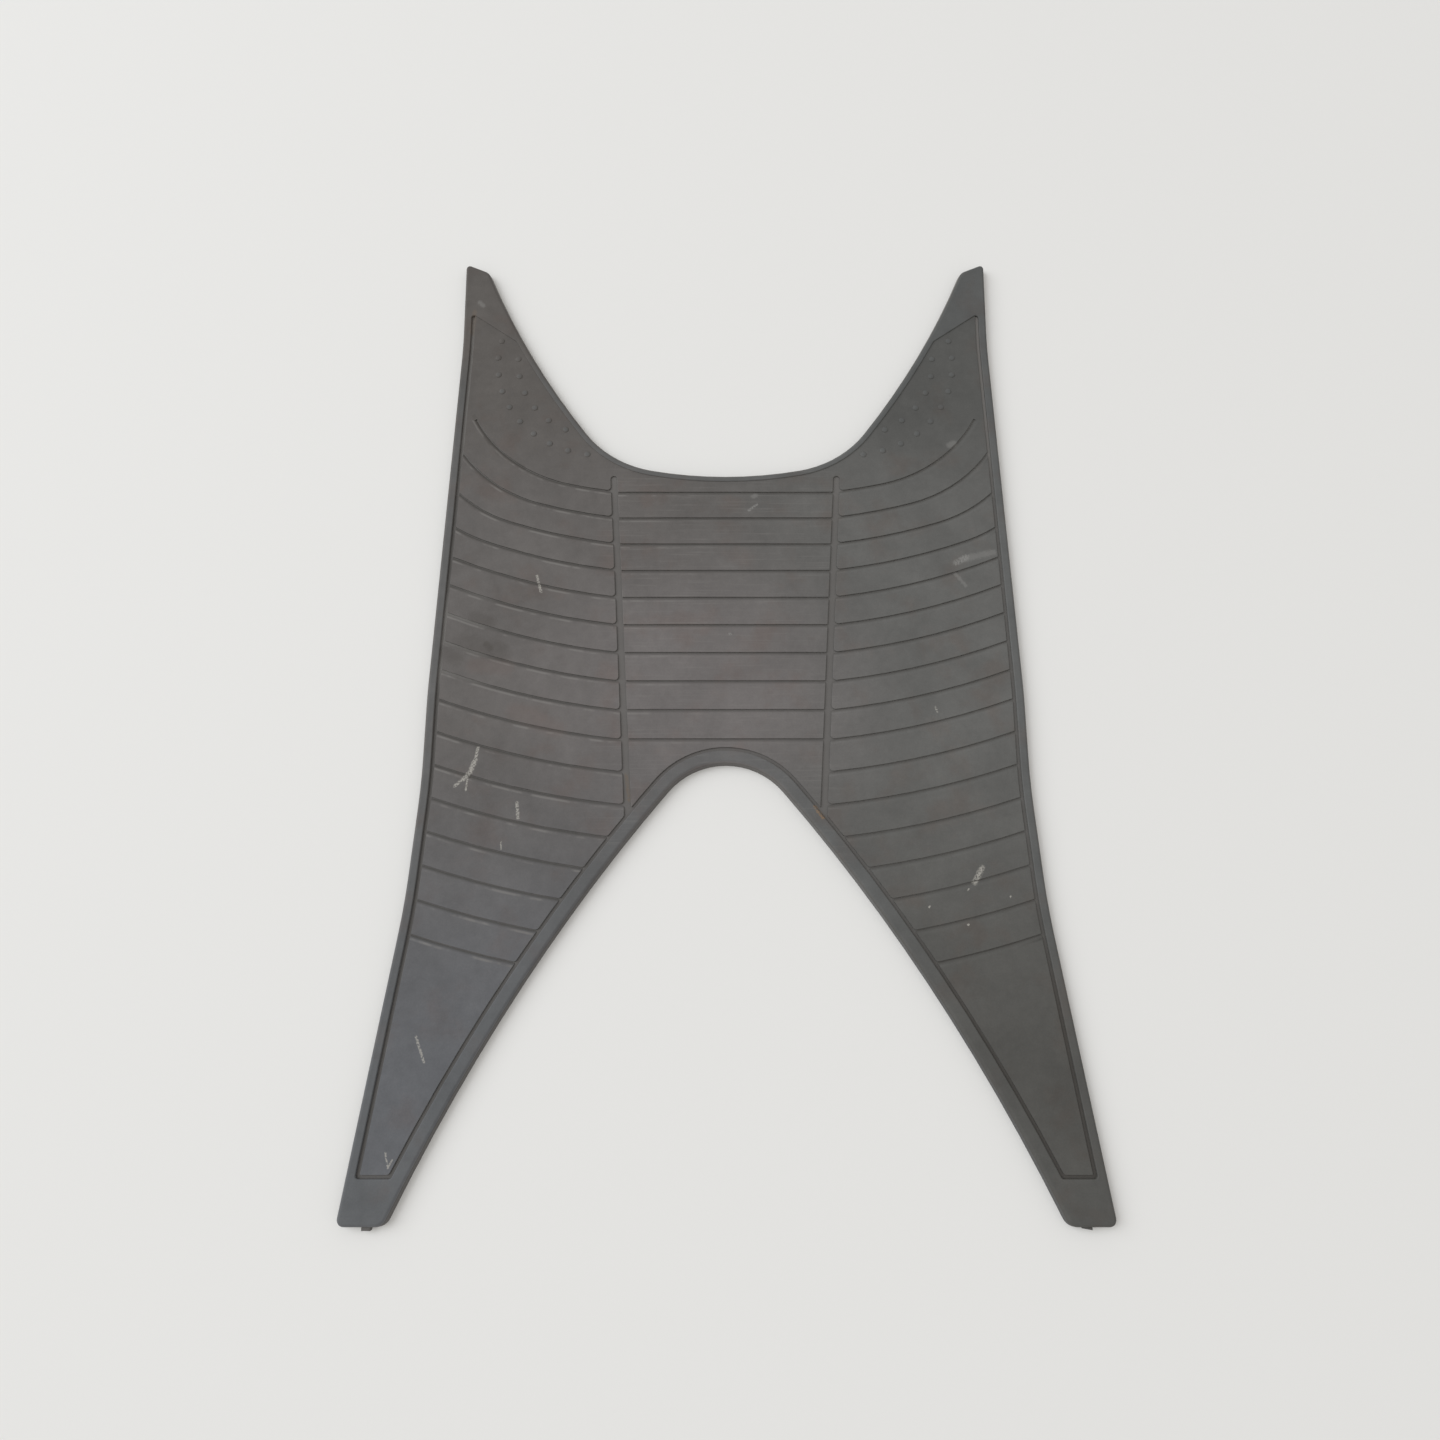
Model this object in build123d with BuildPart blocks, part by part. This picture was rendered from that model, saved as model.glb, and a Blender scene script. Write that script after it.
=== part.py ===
# Rubber floor mat of a scooter's footboard, moulded in one piece.
#
# Two horns reach forward on either side of a rounded notch, and two tails reach back on either
# side of a rear arch. A raised rim runs round the edge. Inside it lie flat treads, divided by
# cross grooves and by two long gutters, and the horns carry rows of small round studs.
#
# X runs across the mat, +Y points to the horns and +Z points up. The origin is at the middle
# of the underside. All sizes are in millimetres and all angles in degrees.

import os
from math import asin, atan, cos, degrees, radians, sin, tan

from build123d import *

# Outline, measured on the underside
LENGTH = 663.2  # horn tips to tail ends
WIDTH = 401.4  # across the belly, the widest place ahead of the tails
HORN_INSET = 1.6  # outer corner of a horn tip inside the belly's side
NECK_INSET = 4.3  # narrowest place of the horns, inside the belly's side
HIP_INSET = 1.1  # where the sides begin to flare, inside the belly's side
FLARE_SPREAD = 3.0  # where the flare runs straight, outside the belly's side
TAIL_SPREAD = 26.8  # outer corner of a tail end outside the belly's side
NECK_LEAD = 72.0  # horn tips to the neck
BELLY_LEAD = 270.0  # neck to belly
HIP_LEAD = 60.0  # belly to hip
FLARE_LEAD = 78.0  # hip to flare
SIDE_RADIUS = 450.0  # bends of the sides at these places
TIP_WIDTH = 19.3  # width of a horn tip
TIP_SLANT = 23.7  # fall of the tip's edge towards the middle
TAIL_WIDTH = 29.0  # width of a tail end
TIP_OUTER_RADIUS = 3.5
TIP_INNER_RADIUS = 8.0
TAIL_OUTER_RADIUS = 5.0
TAIL_INNER_RADIUS = 7.0

# Front notch: a shallow arc, two tighter root arcs, and the inner edges of the horns
NOTCH_DEPTH = 179.5  # horn tips to the bottom of the notch
NOTCH_RADIUS = 289.0
ROOT_INSET = 148.0  # belly's side to where a root arc begins
ROOT_RADIUS = 77.0
HORN_ANGLE = 53.0  # rise of the horn's inner edge where it leaves the root

# Rear arch: a round crown, and the inner edges of the tails
ARCH_DEPTH = 273.3  # tail ends to the crown
ARCH_RADIUS = 49.0
ARCH_ANGLE = 50.0  # fall of the tail's inner edge where it leaves the crown

# Section
THICKNESS = 6.5  # underside to the top of the rim
RIM_STEP = 0.7  # rim top above the treads
GROOVE_DEPTH = 1.0  # treads above the floor of the grooves
EDGE_FOOT = 1.0  # upright foot of the outer wall
EDGE_DRAFT = 12.0  # lean of the wall above the foot
EDGE_ROUND = 2.4  # top of the outer wall

# Rim and the moat that parts it from the treads
RIM_SIDE = 6.6
RIM_FRONT = 5.2
RIM_ARCH = 9.2
MOAT_SIDE = 2.3
MOAT_ARCH = 2.2
MOAT_TAIL = 2.0
TIP_LAND = 43.0  # solid horn tip, from the tip to the corner of the panel
TIP_LAND_SLANT = 35.0  # fall of the panel's front edge towards the middle
TAIL_LAND = 26.4  # solid tail end
RIM_CORNER = 2.0  # inner corners of the rim

# Cross grooves and gutters
FIRST_ROW = 13.1  # bottom of the notch to the first groove
ROW_PITCH = 20.0
CENTRE_ROWS = 10  # grooves across the middle
TAIL_PITCH = 21.6
TAIL_ROWS = 7  # further grooves on each side, down to the tails
GROOVE_WIDTH = 3.2  # steep rear wall of a tread to the flat top of the next one
GROOVE_FOOT = 0.7  # floor of the groove between that wall and the next tread's ramp
RAMP_FALL = 0.8  # height of the ramp
GUTTER_INSET = 121.8  # belly's side to the middle line of a gutter, at the first row
GUTTER_TAPER = 3.84  # angle of a gutter to the middle line
GUTTER_WIDTH = 4.8
GUTTER_LEAD = 12.5  # gutter ahead of the first row
TREAD_CORNER = 2.4  # rear corners of the side treads, beside the gutters and the arch

# Each side groove rises from the gutter on a wide arc that bends forward, and in the front rows
# it then turns up along the horn on a tighter one
GROOVE_INSET = 128.7  # belly's side to where a side groove is in line with its centre groove
GROOVE_RISE = 6.2  # slope there
BEND_RADIUS, BEND_RADIUS_STEP = 362.0, 18.3  # first row, and growth from row to row
TURN_INSET, TURN_STEP = 88.4, 19.0  # belly's side to where the first turn begins, and the next rows' step
TURN_ROWS = 4  # front rows that turn
TURN_RADIUS = 104.0
TURN_LIMIT = 78.0  # steepest slope of a groove
FIRST_GROOVE_INSET = 19.7  # belly's side to where the first groove runs out

# Studs, in arcs round the centre of the first groove's turn, six-sided to keep their faces few
STUD_SIDES = 6
STUD_DIAMETER = 4.4
STUD_TOP = 2.4  # diameter of the flat top
STUD_HEIGHT = 0.6
STUD_ROW_RADII = (79.0, 64.0)
STUD_PITCHES = (14.5, 14.8)
STUD_STARTS = (7.2, 24.4)  # angle of the stud nearest the notch
STUD_COUNTS = (10, 6)

# Lugs on the tail ends: the left one whole, the right one torn off to a sliver
LUG_INSET = 18.5  # outer corner of a tail end to the middle of its lug
LUG_WIDTH = 5.4
LUG_REACH = 1.4
LUG_BOTTOM, LUG_TOP = 1.2, 4.3
LUG_ROOT = 3.0  # length of a lug inside the tail end
SLIVER_WIDTH = 6.0
SLIVER_REACH = 1.0

# Limits for telling corners apart, as cosines of the angle between the two edges of a corner
SMOOTH = -0.99  # edges that run on into each other
ACUTE = 0.5  # edges that meet in a sharp point
TOUCH = 0.01  # distance within which two points are one

# Places that follow from the sizes
TIP_Y = (LENGTH + LUG_REACH) / 2
TAIL_Y = TIP_Y - LENGTH
TIP_CUT = TIP_OUTER_RADIUS * (tan(radians(TIP_SLANT)) + 1 / cos(radians(TIP_SLANT)) - 1)
TIP_CORNER_Y = TIP_Y + TIP_CUT  # corner of the tip before it is rounded
NOTCH_Y = TIP_Y - NOTCH_DEPTH
ARCH_Y = TAIL_Y + ARCH_DEPTH
ROW_Y = NOTCH_Y - FIRST_ROW
PAD_TOP = THICKNESS - RIM_STEP
FLOOR = PAD_TOP - GROOVE_DEPTH
SIDE_X = WIDTH / 2
HORN_X = SIDE_X - HORN_INSET
TAIL_X = SIDE_X + TAIL_SPREAD
NECK_Y = TIP_Y - NECK_LEAD
BELLY_Y = NECK_Y - BELLY_LEAD
HIP_Y = BELLY_Y - HIP_LEAD
FLARE_Y = HIP_Y - FLARE_LEAD
NOTCH_ARC = degrees(asin((SIDE_X - ROOT_INSET) / NOTCH_RADIUS))  # half angle of the shallow arc
GROOVE_X = SIDE_X - GROOVE_INSET
TURN_X = SIDE_X - TURN_INSET
LUG_X = TAIL_X - LUG_INSET
BEYOND = LENGTH  # far enough outside the mat for a cutting shape
SIDE_ROWS = CENTRE_ROWS + TAIL_ROWS
RAMP = GROOVE_WIDTH - GROOVE_FOOT
GROOVE_RADII = [TURN_RADIUS] + [BEND_RADIUS + BEND_RADIUS_STEP * row for row in range(SIDE_ROWS)]


def heading(angle):
    """Unit vector at an angle from +X."""
    return Vector(cos(radians(angle)), sin(radians(angle)))


def row_place(row):
    """Y of a cross groove's front wall."""
    centre_steps = min(row, CENTRE_ROWS - 1)
    return ROW_Y - ROW_PITCH * centre_steps - TAIL_PITCH * (row - centre_steps)


def gutter_half(y):
    """Half distance between the middle lines of the gutters."""
    return SIDE_X - GUTTER_INSET - (ROW_Y - y) * tan(radians(GUTTER_TAPER))


def slope_after(slope, run, radius):
    """Slope of an arc once it has run this far across the mat."""
    return degrees(asin(min(sin(radians(slope)) + run / radius, sin(radians(TURN_LIMIT)))))


def corner_at(place):
    """Selector of the two mirrored vertices at a corner of the outline."""
    return lambda vertex: (Vector(abs(vertex.X), vertex.Y) - place).length < TOUCH


def sharp_corners(plan):
    """Corners of a sketch's faces, each with the directions in which its two edges leave it."""
    corners = []
    for face in plan.faces():
        for vertex in face.vertices():
            place = Vector(vertex.X, vertex.Y)
            leaving = [edge % 0 for edge in face.edges() if (edge @ 0 - place).length < TOUCH]
            leaving += [edge % 1 * -1 for edge in face.edges() if (edge @ 1 - place).length < TOUCH]
            if leaving[0].dot(leaving[1]) > SMOOTH:
                corners.append((vertex, *leaving))
    return corners


def is_ramp_foot(edge):
    """True for an edge of a tread that lies along the rear side of a groove."""
    if edge.geom_type == GeomType.CIRCLE:
        return any(abs(edge.radius - GROOVE_FOOT - radius) < TOUCH for radius in GROOVE_RADII)
    return any(abs(edge.center().Y + GROOVE_FOOT - row_place(row)) < TOUCH for row in range(CENTRE_ROWS))


def is_rear_corner(vertex, first, second):
    """True at the rounded corners, at the rear of a side tread, beside its gutter or the arch."""
    by_gutter = 0 < abs(vertex.X) - gutter_half(vertex.Y) < GUTTER_WIDTH
    by_arch = arch.sketch.distance_to(vertex) < RIM_ARCH + MOAT_ARCH + TOUCH
    facing = (first + second) * -1
    return (by_gutter or by_arch) and facing.Y < 0 and first.dot(second) < ACUTE


# The board between the two outer sides, before the notch and the arch are cut out of it
with BuildSketch() as board:
    with BuildLine():
        tip_corner = Vector(HORN_X, TIP_CORNER_Y)
        tail_corner = Vector(TAIL_X, TAIL_Y)
        Line((0, TIP_CORNER_Y - tip_corner.X * tan(radians(TIP_SLANT))), tip_corner)
        FilletPolyline(
            tip_corner,
            (SIDE_X - NECK_INSET, NECK_Y),
            (SIDE_X, BELLY_Y),
            (SIDE_X - HIP_INSET, HIP_Y),
            (SIDE_X + FLARE_SPREAD, FLARE_Y),
            tail_corner,
            radius=SIDE_RADIUS,
        )
        Line(tail_corner, (0, TAIL_Y))
        mirror(about=Plane.YZ)
    make_face()

# The notch between the horns, open to the front
with BuildSketch() as notch:
    with BuildLine():
        tip_fall = TIP_WIDTH * tan(radians(TIP_SLANT))
        horn_inner = Vector(HORN_X - TIP_WIDTH, TIP_CORNER_Y - tip_fall)
        shallow = JernArc((0, NOTCH_Y), (1, 0), NOTCH_RADIUS, NOTCH_ARC)
        root = JernArc(shallow @ 1, shallow % 1, ROOT_RADIUS, HORN_ANGLE - NOTCH_ARC)
        horn_edge = TangentArc(root @ 1, horn_inner, tangent=root % 1)
        way_out = Line(horn_inner, horn_inner + (horn_edge % 1) * NOTCH_DEPTH)
        Line(way_out @ 1, (0, (way_out @ 1).Y))
        mirror(about=Plane.YZ)
    make_face()

# The arch between the tails, open to the rear
with BuildSketch() as arch:
    with BuildLine():
        tail_inner = Vector(TAIL_X - TAIL_WIDTH, TAIL_Y)
        crown = JernArc((0, ARCH_Y), (1, 0), ARCH_RADIUS, -ARCH_ANGLE)
        tail_edge = TangentArc(crown @ 1, tail_inner, tangent=crown % 1)
        way_out = Line(tail_inner, tail_inner + (tail_edge % 1) * ARCH_DEPTH)
        Line(way_out @ 1, (0, (way_out @ 1).Y))
        mirror(about=Plane.YZ)
    make_face()

with BuildSketch() as outline:
    add(board.sketch)
    add(notch.sketch, mode=Mode.SUBTRACT)
    add(arch.sketch, mode=Mode.SUBTRACT)
    fillet(outline.vertices().filter_by(corner_at(tip_corner)), TIP_OUTER_RADIUS)
    fillet(outline.vertices().filter_by(corner_at(horn_inner)), TIP_INNER_RADIUS)
    fillet(outline.vertices().filter_by(corner_at(tail_inner)), TAIL_INNER_RADIUS)
    fillet(outline.vertices().filter_by(corner_at(tail_corner)), TAIL_OUTER_RADIUS)

# The solid horn tips, ahead of the slanted front edge of the panels
with BuildSketch() as tip_lands:
    with BuildLine():
        panel_corner = Vector(HORN_X - RIM_SIDE, TIP_Y - TIP_LAND)
        edge_run = heading(TIP_LAND_SLANT) * HORN_X
        inner_end = panel_corner - edge_run
        outer_end = panel_corner + edge_run
        Polyline(inner_end, outer_end, (inner_end.X, outer_end.Y), close=True)
    make_face()
    mirror(about=Plane.YZ)

# Inside of the rim
with BuildSketch() as inside:
    offset(board.sketch, amount=-RIM_SIDE)
    offset(notch.sketch, amount=RIM_FRONT, mode=Mode.SUBTRACT)
    offset(arch.sketch, amount=RIM_ARCH, mode=Mode.SUBTRACT)
    add(tip_lands.sketch, mode=Mode.SUBTRACT)
    with Locations((0, TAIL_Y)):
        Rectangle(2 * TAIL_X, 2 * TAIL_LAND, mode=Mode.SUBTRACT)
    fillet([corner[0] for corner in sharp_corners(inside)], RIM_CORNER)

# The two long gutters
with BuildSketch() as gutters:
    gutter_y = ROW_Y + GUTTER_LEAD - GUTTER_WIDTH / 2
    gutter_tip = Vector(gutter_half(gutter_y), gutter_y)
    gutter_tail = Vector(gutter_half(TAIL_Y), TAIL_Y)
    SlotCenterPoint((gutter_tip + gutter_tail) / 2, gutter_tip, GUTTER_WIDTH)
    mirror(about=Plane.YZ)

# Cross grooves between the gutters
with BuildSketch() as centre_grooves:
    for row in range(CENTRE_ROWS):
        with Locations((0, row_place(row) - GROOVE_FOOT / 2)):
            Rectangle(2 * gutter_half(row_place(row)), GROOVE_FOOT)

# All that lies on the right of the right gutter
with BuildSketch() as right_side:
    with BuildLine():
        Polyline(
            (gutter_half(BEYOND), BEYOND),
            (gutter_half(-BEYOND), -BEYOND),
            (BEYOND, -BEYOND),
            (BEYOND, BEYOND),
            close=True,
        )
    make_face()

# Side grooves, each a band between two walls of tangent arcs
with BuildSketch() as side_grooves:
    for row in range(SIDE_ROWS):
        bend = BEND_RADIUS + BEND_RADIUS_STEP * row
        centre = Vector(GROOVE_X, row_place(row)) + heading(GROOVE_RISE + 90) * bend
        turn_x = TURN_X + TURN_STEP * row
        knee = slope_after(GROOVE_RISE, turn_x - GROOVE_X, bend)
        turn_end = TURN_LIMIT
        if row == 0:
            turn_end = slope_after(knee, SIDE_X - FIRST_GROOVE_INSET - turn_x, TURN_RADIUS)
        with BuildLine():
            starts = []
            ends = []
            for step in (0, GROOVE_FOOT):
                arc_start = centre - Vector(0, bend + step)
                if row < TURN_ROWS:
                    bend_arc = JernArc(arc_start, (1, 0), bend + step, knee)
                    last_arc = JernArc(bend_arc @ 1, bend_arc % 1, TURN_RADIUS + step, turn_end - knee)
                else:
                    last_arc = JernArc(arc_start, (1, 0), bend + step, TURN_LIMIT)
                starts.append(arc_start)
                ends.append(last_arc @ 1)
            Line(starts[0], starts[1])
            Line(ends[0], ends[1])
        make_face()
    add(right_side.sketch, mode=Mode.INTERSECT)
    mirror(about=Plane.YZ)

# Treads, seen from above: what the moat, the gutters and the grooves leave standing
with BuildSketch() as tread_plan:
    offset(board.sketch, amount=-RIM_SIDE - MOAT_SIDE)
    offset(notch.sketch, amount=RIM_FRONT, mode=Mode.SUBTRACT)
    offset(arch.sketch, amount=RIM_ARCH + MOAT_ARCH, mode=Mode.SUBTRACT)
    add(tip_lands.sketch, mode=Mode.SUBTRACT)
    with Locations((0, TAIL_Y)):
        Rectangle(2 * TAIL_X, 2 * (TAIL_LAND + MOAT_TAIL), mode=Mode.SUBTRACT)
    add(gutters.sketch, mode=Mode.SUBTRACT)
    add(centre_grooves.sketch, mode=Mode.SUBTRACT)
    add(side_grooves.sketch, mode=Mode.SUBTRACT)
    rear_corners = [corner for corner in sharp_corners(tread_plan) if is_rear_corner(*corner)]
    fillet([corner[0] for corner in rear_corners], TREAD_CORNER)

# Studs of the horns, seen from above
with BuildSketch() as stud_plan:
    knee = slope_after(GROOVE_RISE, TURN_X - GROOVE_X, BEND_RADIUS)
    climb = BEND_RADIUS * (cos(radians(GROOVE_RISE)) - cos(radians(knee)))
    turn_centre = Vector(TURN_X, ROW_Y + climb) + heading(knee + 90) * TURN_RADIUS
    for radius, pitch, start, count in zip(STUD_ROW_RADII, STUD_PITCHES, STUD_STARTS, STUD_COUNTS):
        spread = degrees(pitch / radius) * (count - 1)
        with Locations(turn_centre):
            with PolarLocations(radius, count, start - 90, spread, endpoint=True):
                RegularPolygon(STUD_DIAMETER / 2, STUD_SIDES)
    mirror(about=Plane.YZ)

# The treads, each with a ramp along the groove in front of it
with BuildPart() as treads:
    with BuildSketch(Plane.XY.offset(FLOOR)):
        add(tread_plan.sketch)
    extrude(amount=GROOVE_DEPTH, dir=(0, 0, 1))
    for tread_top in treads.faces().filter_by(Axis.Z).group_by(Axis.Z)[-1]:
        ramp_edges = tread_top.edges().filter_by(is_ramp_foot)
        if ramp_edges:
            chamfer(ramp_edges, length=RAMP, length2=RAMP_FALL, reference=tread_top)

# The mat
with BuildPart() as floor_mat:
    add(outline.sketch)
    extrude(amount=THICKNESS, dir=(0, 0, 1))
    wall = THICKNESS - EDGE_FOOT
    top = floor_mat.faces().sort_by(Axis.Z)[-1]
    chamfer(top.edges(), length=wall * tan(radians(EDGE_DRAFT)), length2=wall, reference=top)
    fillet(floor_mat.faces().sort_by(Axis.Z)[-1].edges(), EDGE_ROUND)
    # Hollow inside the rim
    with BuildSketch(Plane.XY.offset(FLOOR)):
        add(inside.sketch)
    extrude(amount=THICKNESS - FLOOR, dir=(0, 0, 1), mode=Mode.SUBTRACT)
    add(treads.part)
    # Studs
    with BuildSketch(Plane.XY.offset(PAD_TOP)):
        add(stud_plan.sketch)
    stud_taper = degrees(atan((STUD_DIAMETER - STUD_TOP) / 2 / STUD_HEIGHT))
    extrude(amount=STUD_HEIGHT, taper=stud_taper)
    # Whole lug
    with BuildSketch(Plane.XZ.offset(-TAIL_Y - LUG_ROOT)):
        with Locations((-LUG_X, (LUG_BOTTOM + LUG_TOP) / 2)):
            Rectangle(LUG_WIDTH, LUG_TOP - LUG_BOTTOM)
    extrude(amount=LUG_ROOT + LUG_REACH)
    # Torn lug, a wedge that is deepest at its outer end
    with BuildSketch(Plane.XY.offset(LUG_BOTTOM)):
        with BuildLine():
            Polyline(
                (LUG_X - SLIVER_WIDTH / 2, TAIL_Y),
                (LUG_X + SLIVER_WIDTH / 2, TAIL_Y - SLIVER_REACH),
                (LUG_X + SLIVER_WIDTH / 2, TAIL_Y + LUG_ROOT),
                (LUG_X - SLIVER_WIDTH / 2, TAIL_Y + LUG_ROOT),
                close=True,
            )
        make_face()
    extrude(amount=LUG_TOP - LUG_BOTTOM)

floor_mat.part.label = "floor_mat"
os.makedirs("parts", exist_ok=True)
export_step(floor_mat.part, "parts/floor_mat.step")
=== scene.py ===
# Looks of a scooter's rubber floor mat.
#
# The mat's form comes from the imported solid: a copy of it gets soft moulded edges, and a Geometry
# Nodes tree sets a round stud wherever the solid has a six-sided one. One rubber material gives
# the dusty colour, the pale front edges, the scuffs and the stains, and it also paints light and
# shade into the colour: painted shade over the right tail, on the left walls, on the grooves' ramps,
# in the right tail's moat and along the end of the first groove, and painted light in the gutters and
# moats, with cool painted window light on the left tail and on the arch's right wall. Lengths are in
# metres, and places in the material are in millimetres of the part's own frame.

import math

import bmesh
import bpy
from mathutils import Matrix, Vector


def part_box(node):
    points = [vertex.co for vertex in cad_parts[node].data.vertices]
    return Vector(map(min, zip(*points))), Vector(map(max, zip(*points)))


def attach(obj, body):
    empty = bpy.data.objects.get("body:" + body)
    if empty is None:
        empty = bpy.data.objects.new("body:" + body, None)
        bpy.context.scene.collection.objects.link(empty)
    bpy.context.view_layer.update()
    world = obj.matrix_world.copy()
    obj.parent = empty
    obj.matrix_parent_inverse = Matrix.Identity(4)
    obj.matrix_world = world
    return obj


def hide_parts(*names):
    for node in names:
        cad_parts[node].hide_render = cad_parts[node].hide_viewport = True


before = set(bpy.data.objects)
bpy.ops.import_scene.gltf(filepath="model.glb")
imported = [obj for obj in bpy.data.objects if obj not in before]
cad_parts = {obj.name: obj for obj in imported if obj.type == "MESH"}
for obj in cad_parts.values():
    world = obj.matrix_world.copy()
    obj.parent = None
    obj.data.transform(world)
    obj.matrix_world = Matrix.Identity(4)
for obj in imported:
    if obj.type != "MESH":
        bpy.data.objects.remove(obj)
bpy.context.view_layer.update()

MM = 0.001

# Levels of the moulding, worked out from the top of the rim
mat_low, mat_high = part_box("floor_mat")
UNDERSIDE = mat_low.z
RIM_TOP = mat_high.z
RIM_STEP = 0.7 * MM
STUD_RISE = 0.6 * MM
GROOVE_DEPTH = 1.0 * MM
TREAD_TOP = RIM_TOP - RIM_STEP
STUD_TOP = TREAD_TOP + STUD_RISE
GROOVE_FLOOR = TREAD_TOP - GROOVE_DEPTH
SAME_LEVEL = 0.02 * MM
LEVEL = 0.99  # the normal of a level face rises more than this
UPRIGHT = 0.1  # the normal of an upright wall rises less than this

# Soft edges
MERGE = 0.002 * MM
FLAT = math.radians(0.3)  # faces or edges that meet at less than this are one
BARELY_BENT = math.radians(4)  # bend at a point of a wide arc, at most
CREASE = math.radians(12)  # edges sharper than this are rounded
SMOOTH = math.radians(40)  # edges sharper than this are shaded as sharp
RAMP_EDGE = 0.9 * MM  # widest rounding, where a tread falls to the groove in front of it
CORNER_EDGE = 0.8 * MM  # upright corners
TOP_EDGE = 0.35 * MM  # top of a tread's steep wall
RIM_EDGE = 0.7 * MM  # inner edge of the rim
EDGE_STEPS = 3
SHORT_SIDE = 1.5 * MM  # spare points closer than this to a corner are drawn into it
SIDE_SHARE = 0.4  # of a short side that an upright corner's rounding may take

# Studs
STUD_SIDES = 6  # of the solid's studs
STUD_DIAMETER = 4.6 * MM
STUD_SEGMENTS = 24
STUD_RINGS = 12

# Camera, solved from the photograph
LENS = 21.25
SENSOR = 36.0
CAMERA_TILT = math.radians(14.064)
CAMERA_X = -3.8 * MM
CAMERA_BEHIND_TIPS = 497.1 * MM
CAMERA_HEIGHT = 553.2 * MM

# Room: floor, sky and one large window on the left
FLOOR_HALF = 2.0
FLOOR_GAP = 0.05 * MM  # between the mat's underside and the floor
FLOOR_TONE = (0.86, 0.855, 0.84, 1.0)
FLOOR_ROUGHNESS = 0.8
SKY_TONE = (1.0, 0.985, 0.96, 1.0)
SKY_STRENGTH = 0.61
WINDOW_PLACE = Vector((-7.75, 2.75, 6.5))
WINDOW_SIZE = 8.0
WINDOW_POWER = 637.0
WINDOW_TONE = (0.94, 0.97, 1.0)

# Colours of the rubber, zone by zone, of what lies on it, and of the painted light and shade
SIDE_LEFT = (0.119, 0.110, 0.105, 1.0)
SIDE_RIGHT = (0.123, 0.122, 0.117, 1.0)
MIDDLE = (0.155, 0.143, 0.140, 1.0)
HORN_LEFT = (0.099, 0.090, 0.083, 1.0)
HORN_RIGHT = (0.085, 0.085, 0.081, 1.0)
# painted cool window light: the left tail's bluish tint
TAIL_LEFT = (0.118, 0.122, 0.132, 1.0)
# painted shade: the right tail is darker than the rest of the mat
TAIL_RIGHT = (0.082, 0.080, 0.074, 1.0)
RIM_TONE = (0.106, 0.112, 0.114, 1.0)
WARM_TINT = (1.0, 0.92, 0.89, 1.0)
# pale dust on the streaks and the groove ends and pale front edges, and painted light in the horns'
# moats
PALE_DUST_AND_LIGHT = (0.215, 0.205, 0.195, 1.0)
# painted cool window light, laid on the low part of the arch's right wall
COOL_WINDOW_LIGHT = (0.19, 0.215, 0.235, 1.0)
# painted light that lifts the shade in the gutters and the moats
GUTTER_PAINTED_LIGHT = (0.150, 0.143, 0.137, 1.0)
# painted shade, laid on the grooves' ramps and on the low walls on the left
PAINTED_SHADE_TONE = (0.060, 0.056, 0.050, 1.0)
SCRAPED = (0.40, 0.385, 0.35, 1.0)
DULL_SCRAPE = (0.26, 0.255, 0.245, 1.0)
WARM_PATCH = (0.150, 0.108, 0.095, 1.0)
# dark stains, and also painted shade: in the right tail's moat, under the torn flap and along the end of
# the first groove
DARK_STAIN_AND_SHADE = (0.055, 0.047, 0.040, 1.0)
RUST = (0.27, 0.16, 0.075, 1.0)
BROWN = (0.16, 0.12, 0.085, 1.0)

# Zones across the mat in millimetres: where a share begins and where it is full
LEFT_TO_RIGHT = (-70.0, 120.0)
LEFT_SIDE = (20.0, -90.0)
FAR_LEFT = (-60.0, -110.0)
LEFT_WALLS = (35.0, -35.0)
RIGHT_OF_ARCH = (25.0, 60.0)
RIGHT_TAIL = (40.0, 110.0)
STREAKS_FROM_LEFT = (-110.0, -60.0)
STREAKS_FROM_RIGHT = (95.0, 55.0)
FILLED_ENDS = (-150.0, -172.0)

# Zones along the mat, in the same way
HORNS = (115.0, 225.0)
HORN_MOATS = (120.0, 200.0)
HORN_TIPS = (215.0, 265.0)
TAILS = (-15.0, -260.0)
TAIL_ENDS = (-120.0, -230.0)
BESIDE_ARCH = (0.0, -60.0)
FILLED_FROM_REAR = (-12.0, 8.0)
FILLED_FROM_FRONT = (72.0, 48.0)

# Zones by height, in the same way
TREAD_MM = TREAD_TOP / MM
GROOVE_MM = GROOVE_FLOOR / MM
ON_RIM = (TREAD_MM + 0.2, TREAD_MM + 0.6)
LOW_WALL = (GROOVE_MM, GROOVE_MM - 0.8)
IN_GROOVE = (TREAD_MM - 0.1, GROOVE_MM + 0.2)
IN_GUTTER = (GROOVE_MM + 0.15, GROOVE_MM + 0.05)
LIP_FROM_BELOW = (TREAD_MM - 0.4, TREAD_MM - 0.2)
LIP_FROM_ABOVE = (TREAD_MM, TREAD_MM - 0.06)

# Pale middle: an oval, with its shift and its fade as shares of its reach
MIDDLE_REACH = (165.0, 135.0)
MIDDLE_SHIFT = (0.15, 0.05)
MIDDLE_FADE = (1.0, 0.15)

# Line along the right tail that parts its arch side from its outer side
TAIL_LEAN = 0.254
ARCH_SIDE = (140.0, 118.0)

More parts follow.
